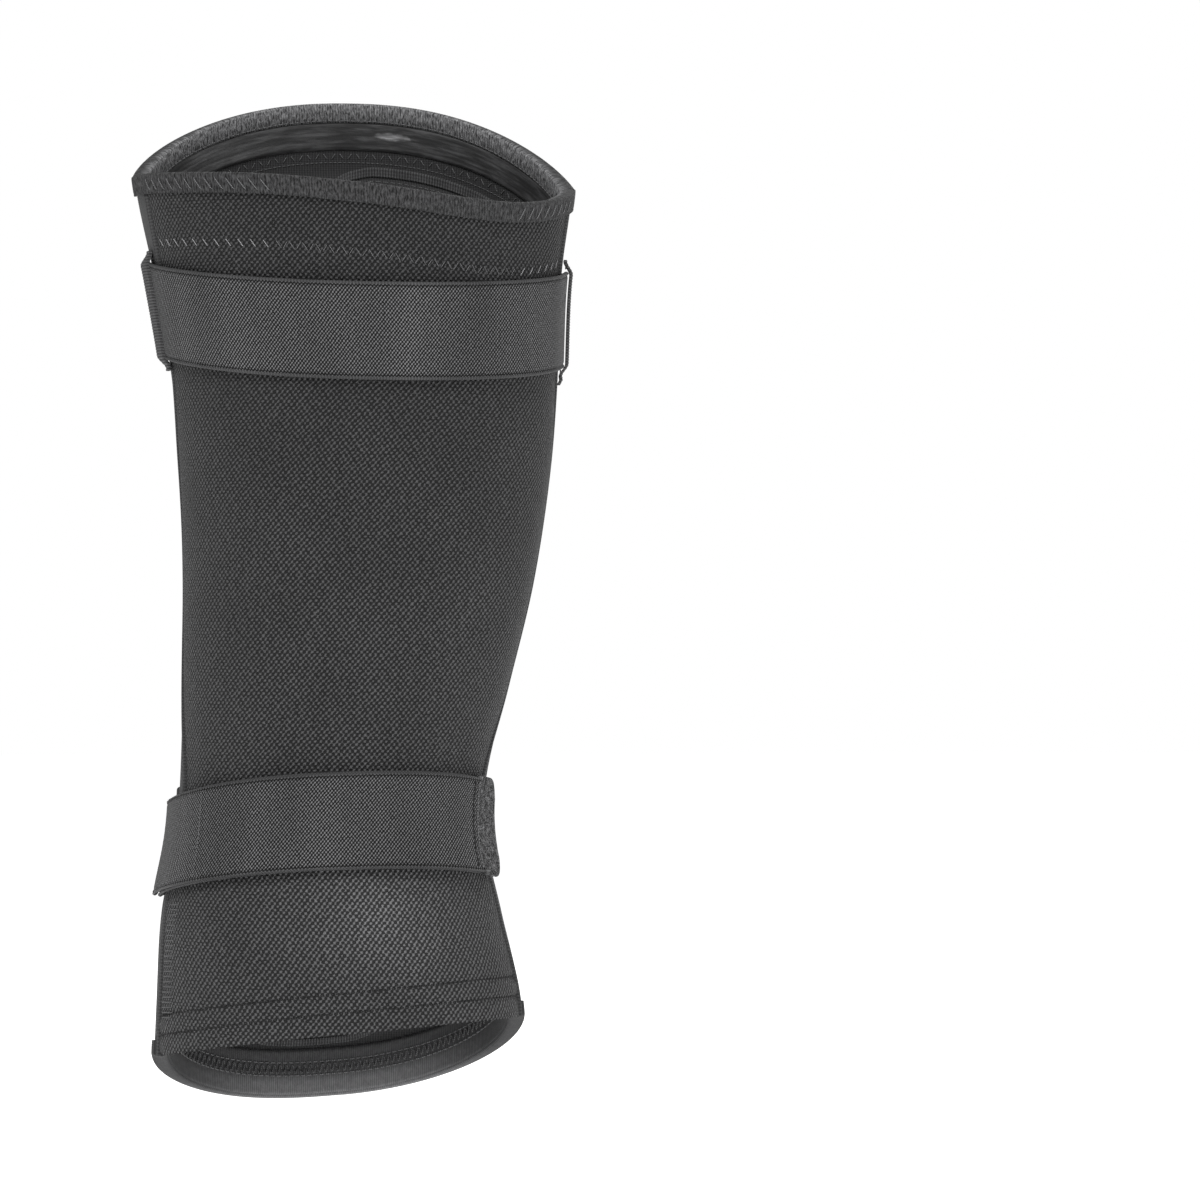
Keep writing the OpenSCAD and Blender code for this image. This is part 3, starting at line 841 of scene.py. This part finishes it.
def build_thigh_strap():
    a = np.linspace(TOP_START_A, TOP_TAB_A, 420)
    strap = ribbon("thigh_strap", a, top_strap_z, constant(THIGH_STRAP_D), STRAP_W, STRAP_T)
    place(strap, ELASTIC, "thigh", ["thigh_strap"])
    patch = ribbon("thigh_loop_patch", np.linspace(TOP_TAB_A - 358, TOP_END_A - 357, 50), top_strap_z,
                   constant(0.3), STRAP_W - 6, 1.1, False)
    place(patch, BRUSHED, "thigh", ["thigh_loop_patch"])
    a = np.linspace(TOP_TAB_A + 0.4, TOP_END_A, 60)
    tab = ribbon("thigh_tab", a, top_strap_z, constant(1.8), STRAP_W, 1.6, False, tab_width(60))
    place(tab, BRUSHED, "thigh_tab", ["thigh_tab"])


def tab_width(n, width=STRAP_W + 1):
    """Width along a tab whose free corners are rounded."""
    t = np.linspace(0, 1, n)
    return width * (1 - 0.35 * (np.maximum(0, t - 0.55) / 0.45) ** 3)


def tangent_frame(a, z, d):
    """A point of the sleeve, and the directions along the girth, up the sleeve and straight out there."""
    p = skin(a, z, d)
    t = skin(a + 1, z, d) - skin(a - 1, z, d)
    t = t / np.linalg.norm(t)
    w = skin(a, z + 18, d) - skin(a, z - 18, d)
    w = w - (w @ t) * t
    w = w / np.linalg.norm(w)
    return p, t, w, np.cross(t, w)


def over_lift(a):
    return OVER_D + (RING_D + 0.8) * smooth((RING_A + 27 - a) / 18)


def strap_turn(name, at_x, side, width, thick, upper, lower):
    """Strap or webbing turned round one long side of the ring, its two leaves leading away from it."""
    p, t, w, n = tangent_frame(RING_A, float(calf_strap_z(RING_A)), BAR_D)
    r = RING_D / 2 + 0.3 + thick / 2
    turn = np.linspace(math.pi / 2, 3 * math.pi / 2, 33)
    path = np.concatenate([
        [[k, r] for k in np.linspace(upper, 0.2, 8)],
        np.stack([np.cos(turn) * r, np.sin(turn) * r], -1),
        [[k, -r] for k in np.linspace(0.2, lower, 8)]])
    ahead = np.gradient(path, axis=0)
    ahead /= np.linalg.norm(ahead, axis=1)[:, None]
    away = np.stack([ahead[:, 1], -ahead[:, 0]], -1)
    rows = ribbon_rows(width, 36)
    from_edge = width / 2 - np.abs(rows)
    half = thick / 2 * np.sqrt(np.clip(1 - (1 - np.clip(from_edge / (thick / 2), 0, 1)) ** 2, 0, 1))

    def face(sign):
        q = path[:, None] + sign * half[None, :, None] * away[:, None]
        return p + t * at_x + side * q[..., :1] * t + q[..., 1:] * n + rows[None, :, None] * w

    outer, inner = face(-1), face(1)
    uv = grid_map(girth(outer), rows[None])
    if side < 0:
        outer, inner = inner, outer
    return sheet(name, inner, outer, uv)


def build_calf_strap():
    a = np.linspace(RING_A + 13.5, 343, 260)
    under = ribbon("calf_strap_under", a, calf_strap_z, constant(UNDER_D), STRAP_W, STRAP_T)
    place(under, ELASTIC, "shin", ["calf_strap_under"])
    a = np.linspace(RING_A + 8, TAB_A, 300)
    over = ribbon("calf_strap_over", a, calf_strap_z, over_lift, STRAP_W - 1, STRAP_T)
    place(over, ELASTIC, "calf_strap", ["calf_strap_over"])
    turn = strap_turn("calf_strap_turn", 6.6, 1, STRAP_W - 1, STRAP_T, 3.0, 0.4)
    place(turn, ELASTIC, "calf_strap")
    a = np.linspace(TAB_A + 0.4, TAB_END_A, 70)
    tab = ribbon("calf_tab", a, calf_strap_z, tab_lift, STRAP_W, 1.6, False, tab_width(70))
    place(tab, BRUSHED, "calf_tab", ["calf_tab"])
    a = np.linspace(127, RING_A - 11.4, 60)
    webbing = ribbon("ring_webbing", a, calf_strap_z, constant(0.6), STRAP_W - 2,
                     2.8 + 4.3 * smooth((a - 128) / 10)[:, None], False)
    place(webbing, WEBBING, "shin", ["ring_webbing"])
    turn = strap_turn("ring_webbing_turn", -6.6, -1, STRAP_W - 2, 1.4, 5.2, 5.2)
    place(turn, WEBBING, "shin")


def tab_lift(a):
    """The stiff tab stands away from the narrowing leg towards its free end."""
    return OVER_D + 1.4 * np.clip((a - TAB_A) / (TAB_END_A - TAB_A), 0, 1) ** 1.6


def build_keeper(name, a0, width, lean, low_end):
    """Belt loop of narrow webbing over the strap, one edge leaning out, its lower end low_end mm longer."""
    middle = float(top_strap_z(a0))
    half = STRAP_W / 2 + 4.5
    v = np.linspace(-half - low_end, half, 181)
    u = np.linspace(-1, 1, 21)
    rise = smooth((half - np.abs(v)) / 6.0)
    low = 0.3 + (STRAP_T + 0.3 + KEEPER_SLACK) * rise + 0.9 * np.exp(-((v + half + 0.3) / 1.5) ** 2)
    a = a0 + u[:, None] * width / 2 / MM_PER_DEGREE
    z = middle + v[None]
    rib = 0.07 * np.cos(2 * math.pi * v / 1.15)[None]
    lift = low[None] - lean * u[:, None] * rise[None]
    crown = 1.35 * np.sqrt(np.clip(1 - np.abs(u) ** 6, 0, 1))[:, None]
    outer, inner = skin(a, z, lift + crown * (1 + rib)), skin(a, z, lift)
    uv = grid_map(u[:, None] * width / 2, z)
    place(sheet(name, outer, inner, uv), WEBBING, "thigh", [name])
    across = np.linspace(-0.8, 0.8, 6)
    for end, z0 in (("upper", middle + half - 1.8), ("lower", middle - half + 1.8)):
        rows = [skin(a0 + across * width / 2 / MM_PER_DEGREE, z0 + k * 0.5, 1.3 + 0.25 * np.cos(across * 1.8))
                for k in range(-3, 4)]
        place(threads(f"{name}_tack_{end}", rows, 0.24), THREAD, "thigh")


# ---------------------------------------------------------------- shells of the front

def build_shell(name, half_a, z0, z1, rise, body, ribs):
    """A moulded plate at the middle of the front: rounded corners, a dome, and grooves at ribs."""
    x, y = np.meshgrid(np.linspace(-1, 1, 97), np.linspace(-1, 1, 97), indexing="ij")
    a = 90 + half_a * x * np.sqrt(1 - 0.4 * y * y)
    z = (z0 + z1) / 2 + (z1 - z0) / 2 * y * np.sqrt(1 - 0.4 * x * x)
    dome = (1 - x ** 4) * (1 - y ** 4)
    side = np.sqrt(np.clip(1 - np.maximum(np.abs(x), np.abs(y)) ** 24, 0, 1))
    groove = sum(0.7 * np.exp(-((np.abs(y) + 0.25 * np.abs(x) - r) / 0.035) ** 2) for r in ribs)
    groove *= smooth((0.72 - np.abs(x)) / 0.1)
    rim = 0.6 * smooth((np.maximum(np.abs(x), np.abs(y)) - 0.86) / 0.04)
    outer = skin(a, z, 0.6 + (2.3 + rise * dome - groove - 0.5 * (1 - rim)) * side)
    inner = skin(a, z, 0.5)
    uv = grid_map(x * 60, y * (z1 - z0) / 2)
    place(sheet(name, outer, inner, uv), SHELL, body, [name])


# ---------------------------------------------------------------- pads of the front

def swollen(obj, cap):
    """Lets a closed piece swell as cloth under pressure, no point going further than cap from its start."""
    start = np.empty(3 * len(obj.data.vertices))
    obj.data.vertices.foreach_get("co", start)
    cloth = obj.modifiers.new("swell", "CLOTH")
    cloth.settings.use_pressure = True
    cloth.settings.uniform_pressure_force = 4
    cloth.settings.effector_weights.gravity = 0
    cloth.point_cache.frame_start, cloth.point_cache.frame_end = 1, 20
    for frame_number in range(1, 21):
        bpy.context.scene.frame_set(frame_number)
    shown = obj.evaluated_get(bpy.context.evaluated_depsgraph_get())
    end = np.empty_like(start)
    shown.data.vertices.foreach_get("co", end)
    obj.modifiers.remove(cloth)
    bpy.context.scene.frame_set(1)
    move = (end - start).reshape(-1, 3)
    far = np.linalg.norm(move, axis=1, keepdims=True)
    move *= np.minimum(1, cap / np.maximum(far, 1e-9))
    obj.data.vertices.foreach_set("co", start + move.ravel())
    obj.data.update()


def build_pad(part, a0, a1, low, high, thick, body):
    """Foam between cloth and lining: full in the middle, thin at its edges, softly quilted."""
    u, v = np.meshgrid(np.linspace(0, 1, 45), np.linspace(0, 1, 41), indexing="ij")
    a = mix(a0 + 1.5, a1 - 1.5, u)
    z = mix(low(a) + 2, high(a) - 2, v)
    full = swell(a, z, a0, a1, low(a), high(a), 0)
    outer = skin(a, z, D_FOAM - 0.25)
    inner = skin(a, z, D_FOAM - 0.7 - (thick - 2.2) * full)
    pad = sheet(f"{part}_foam", outer, inner)
    swollen(pad, 0.5 * MM)
    smoother = pad.modifiers.new("smooth", "SUBSURF")
    smoother.levels = smoother.render_levels = 1
    place(pad, FOAM, body, [f"{part}_pad"])


def build_pads():
    for part, body in (("thigh", "thigh"), ("knee", None), ("shin", "shin")):
        build_pad(part, *PADS[part], body)


def pocket_edge(name, a, middle, half, body):
    """A ribbed edge of a pad's pocket, on the inside of the front, round a line of heights middle."""
    run = girth(skin(a, middle, -4))
    v = np.linspace(-1, 1, 13)
    z = middle[:, None] + half * v[None]
    crown = (1 - v ** 6) ** 0.5 * (0.9 + 0.12 * np.cos(2 * math.pi * run / 1.25)[:, None])
    face = front_inside(a[:, None], z)
    uv = grid_map(half * v[None], run[:, None])
    edge = sheet(name, skin(a[:, None], z, face + 0.2), skin(a[:, None], z, face - crown), uv)
    return place(edge, WEBBING, body)


def build_pocket_edges():
    """Arched edges where the thigh and shin pads go in, and two rows below the upper one."""
    a = np.linspace(24, 99, 400)
    line = rim_top(a) - 27.5 - np.where(a > 85, 10 * (a - 85) ** 2 / 169, 3 * (85 - a) ** 2 / 3600)
    upper = pocket_edge("pocket_edge_thigh", a, line, 2.1, "thigh")
    for k, below in ((0, 3.7), (1, 10.7)):
        z = line - below
        points = skin(a, z, front_inside(a, z) - 0.15)
        rows = [points[i:i + 8] for i in range(0, len(a) - 8, 10)]
        sew(f"pocket_row_{k}", rows, 0.17, PALE_THREAD, "thigh")
    a = np.linspace(70, 132, 300)
    lower = pocket_edge("pocket_edge_shin", a, rim_low(a) + 22.3 + 14 * ((a - 101) / 31) ** 4, 1.5, "shin")
    return upper, lower


# ---------------------------------------------------------------- stitches

def sew(name, paths, radius, material, body):
    return place(threads(name, paths, radius), material, body)


def strap_rows(a, step):
    """An upright row of stitches across the calf strap's outer layer."""
    t = np.linspace(0, 1, 6)
    return [skin(a, calf_strap_z(a) + w + 0.75 * step * t, OVER_D + STRAP_T + 0.3 * np.sin(math.pi * t))
            for w in np.arange(-16.5, 16.5, step)]


def build_top_stitches():
    def strokes(a0, a1, lean, step, top, bottom):
        return [stitch(q, rim_top(q) - top, q + lean, rim_top(q) - bottom, 1.25, 0.6)
                for q in walk(a0, a1, rim_top, step)]

    def binding_face(a, z):
        return wall_d(a) - 1.25

    row = zigzag(203, 346, under_top(BAND_ROW), back_relief, 5.2, 3.2)
    sew("band_zigzag_left", row[0:22:2], 0.17, LIGHT_THREAD, "thigh")
    sew("band_zigzag", row[22:-12], 0.15, PALE_THREAD, "thigh")
    sew("band_zigzag_right", row[-11::2], 0.17, LIGHT_THREAD, "thigh")
    overcast = strokes(203, 248, 2.6, 4.6, 2.0, 7.0) + strokes(318, 346, -2.4, 4.4, 2.0, 7.4)
    sew("binding_overcast", overcast, 0.2, PALE_THREAD, "thigh")
    sew("binding_row", running(4, 176, under_top(7.3), binding_face, 2.4, 0.8, 0.5, -1), 0.22,
        PALE_THREAD, "thigh")
    sew("gripper_zigzag", zigzag(10, 170, under_top(21.4), front_inside, 7.0, 2.4, 0.5, -1), 0.18,
        PALE_THREAD, "thigh")
    sew("gripper_line", running(8, 172, under_top(23.9), front_inside, 2.0, 0.85, 0.5, -1), 0.15,
        PALE_THREAD, "thigh")


def build_low_stitches():
    for name, off in zip(("hem_row_lower", "hem_row_upper"), HEM_ROWS):
        rows = running(197, 350, over_low(off), back_relief, 2.0, 0.6, 0.42)
        sew(name, rows, 0.4, DARK_THREAD, "shin")

    # over-edge stitches where the mesh meets the left seam below the strap
    edge = [stitch(back_from(z) + 0.3, z, back_from(z) + 11, z + 0.6, 0.0, 0.4)
            for z in np.arange(-170, -124, 2.0)]
    sew("seam_overcast_left", edge, 0.34, THREAD, "shin")

    def facing_face(a, z):
        return wall_d(a) - 1.6

    for name, off in zip(("cover_row_lower", "cover_row_upper"), COVER_ROWS):
        rows = running(-4, 188, over_low(off), facing_face, 2.7, 0.8, 0.55, -1)
        sew(name, rows, 0.26, PALE_THREAD, "shin")
    t = np.linspace(0, 1, 9)
    middle = sum(COVER_ROWS) / 2
    a = walk(-4, 188, over_low(middle), 2.7)
    loops = [skin(mix(p, q, t), rim_low(p) + middle + 1.9 * np.sin(2 * math.pi * t), wall_d(p) - 1.9)
             for p, q in zip(a[:-1], a[1:])]
    sew("cover_looper", loops, 0.34, THREAD, "shin")
    for name, a, step, radius, material in (("end_row", TAB_A - 3.8, 2.1, 0.36, DARK_THREAD),
                                            ("end_edge", TAB_A - 0.9, 1.3, 0.3, PALE_THREAD),
                                            ("left_row", 221.0, 1.6, 0.22, PALE_THREAD)):
        sew(f"calf_strap_{name}", strap_rows(a, step), radius, material, "calf_strap")


def outline_row(name, place_at, step, d, radius, material, body):
    """Running stitches along a closed outline; place_at gives angles and heights for a turn from 0 to 1."""
    t = np.linspace(0, 1, 1200)
    run = girth(skin(*place_at(t), 0))
    count = int(round(run[-1] / step))
    starts = np.interp(np.linspace(0, run[-1], count + 1), run, t)
    rows = []
    for p, q in zip(starts[:-1], mix(starts[:-1], starts[1:], 0.7)):
        a, z = place_at(np.linspace(p, q, 7))
        rows.append(skin(a, z, d - 0.3 + 0.5 * np.minimum(1, 2.2 * np.sin(math.pi * np.linspace(0, 1, 7)))))
    sew(name, rows, radius, material, body)


def rounded(t, a_mid, a_half, z_low, z_high):
    """A turn round a rounded oblong of the sleeve."""
    c, s = np.cos(2 * math.pi * t), np.sin(2 * math.pi * t)
    a = a_mid + a_half * np.sign(c) * np.abs(c) ** 0.45
    low, high = z_low(a), z_high(a)
    return a, (low + high) / 2 + (high - low) / 2 * np.sign(s) * np.abs(s) ** 0.45


def build_front_stitches():
    """Rows that hold the pad and the straps on the unseen front."""
    for name, grow in (("thigh_pad_row", 0.0), ("thigh_pad_row_outer", 2.0)):
        def place_at(turn, g=grow):
            return rounded(turn, 90, 53 + g / 1.4, constant(74 - g), under_top(32 - g))

        outline_row(name, place_at, 3.0, 0.0, 0.18, THREAD, "thigh")
    t = np.linspace(0, 1, 6)
    on_strap = (top_strap_z, 16.5, THIGH_STRAP_D + STRAP_T, "elastic", "thigh")
    on_webbing = (calf_strap_z, 15.5, 3.45, "webbing", "shin")
    for name, a, (middle, half, d, slot, body) in (("thigh_strap_row_0", TOP_START_A + 1.6, on_strap),
                                                   ("ring_webbing_row", 128.6, on_webbing),
                                                   ("thigh_strap_row_1", TOP_START_A + 4.6, on_strap)):
        rows = [skin(a, middle(a) + w + 1.5 * t, d + 0.3 * np.sin(math.pi * t))
                for w in np.arange(-half, half, 2.1)]
        sew(name, rows, 0.26, PALE_THREAD, body)


# ---------------------------------------------------------------- everything

back = build_back()
front = build_front()
lining = build_lining()
build_seam("seam_left", SEAM_L)
build_seam("seam_right", SEAM_R)
build_binding()
build_front_hem()
build_bands()
build_pads()
pocket_edges = build_pocket_edges()
build_thigh_strap()
build_calf_strap()
build_keeper("keeper_left", 190.5, 8.0, 0.8, 0)
build_keeper("keeper_right", 359, 6.0, 0.0, 2.5)
build_shell("knee_shell", 46, -48, 54, 6, "knee_cap", (0.2, 0.45, 0.7))
build_shell("shin_shell", 33, -174, -64, 3.5, "shin", (0.15, 0.4, 0.65))
build_top_stitches()
build_low_stitches()
build_front_stitches()

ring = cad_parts["calf_ring"]
ring.data.materials.clear()
ring.data.materials.append(WIRE)


# ---------------------------------------------------------------- camera, light and floor

def build_camera():
    """Level with the knee, straight behind it, turned a little to the right."""
    distance, frame_width = 2.2, 0.480
    data = bpy.data.cameras.new("camera")
    data.sensor_width = 36
    data.lens = data.sensor_width * distance / frame_width
    camera = bpy.data.objects.new("camera", data)
    bpy.context.scene.collection.objects.link(camera)
    camera.location = (0, -distance, -0.006)
    aim = Vector((0.0972, 0, -0.006))
    camera.rotation_euler = (aim - camera.location).to_track_quat("-Z", "Y").to_euler()
    bpy.context.scene.camera = camera


def area_light(name, where, target, size, power):
    data = bpy.data.lights.new(name, "AREA")
    data.shape = "RECTANGLE"
    data.size, data.size_y = size
    data.energy = power
    light = bpy.data.objects.new(name, data)
    bpy.context.scene.collection.objects.link(light)
    light.location = where
    light.rotation_euler = (Vector(target) - Vector(where)).to_track_quat("-Z", "Y").to_euler()


def build_stage():
    corners = [[x * FLOOR_HALF, y * FLOOR_HALF, FLOOR_Z] for x, y in ((-1, -1), (1, -1), (1, 1), (-1, 1))]
    floor = mesh_object("floor", corners, [[0, 1, 2, 3]], np.zeros((4, 2)))
    p = Paint("pale_floor", roughness=0.9, specular=0.1)
    p.colour(p.noise(0.5, 2), 0.93, 0.94, (1, 1, 1))
    p.shader.inputs["Emission Color"].default_value = (1, 1, 1, 1)
    p.shader.inputs["Emission Strength"].default_value = 0.54
    floor.data.materials.append(p.material)
    world = bpy.data.worlds.new("studio")
    bpy.context.scene.world = world
    world.use_nodes = True
    nodes, links = world.node_tree.nodes, world.node_tree.links
    background = nodes["Background"]
    path = nodes.new("ShaderNodeLightPath")
    level = nodes.new("ShaderNodeMapRange")
    level.inputs["To Min"].default_value = 0.5
    level.inputs["To Max"].default_value = 1.0
    links.new(path.outputs["Is Camera Ray"], level.inputs["Value"])
    links.new(level.outputs[0], background.inputs["Strength"])
    background.inputs["Color"].default_value = (1, 1, 1, 1)
    area_light("key", (-0.7, -1.7, 2.0), (0, 0, -0.05), (1.1, 1.1), 46)
    area_light("fill", (1.8, -1.6, 0.5), (0, 0, 0), (1.4, 1.6), 18)
    area_light("top", (0.0, 0.4, 2.2), (0, 0, 0), (1.6, 1.2), 14)
    area_light("front", (0.6, 2.4, 0.8), (0, 0, 0), (1.6, 1.6), 14)
    bpy.context.scene.view_settings.view_transform = "Standard"


build_camera()
build_stage()
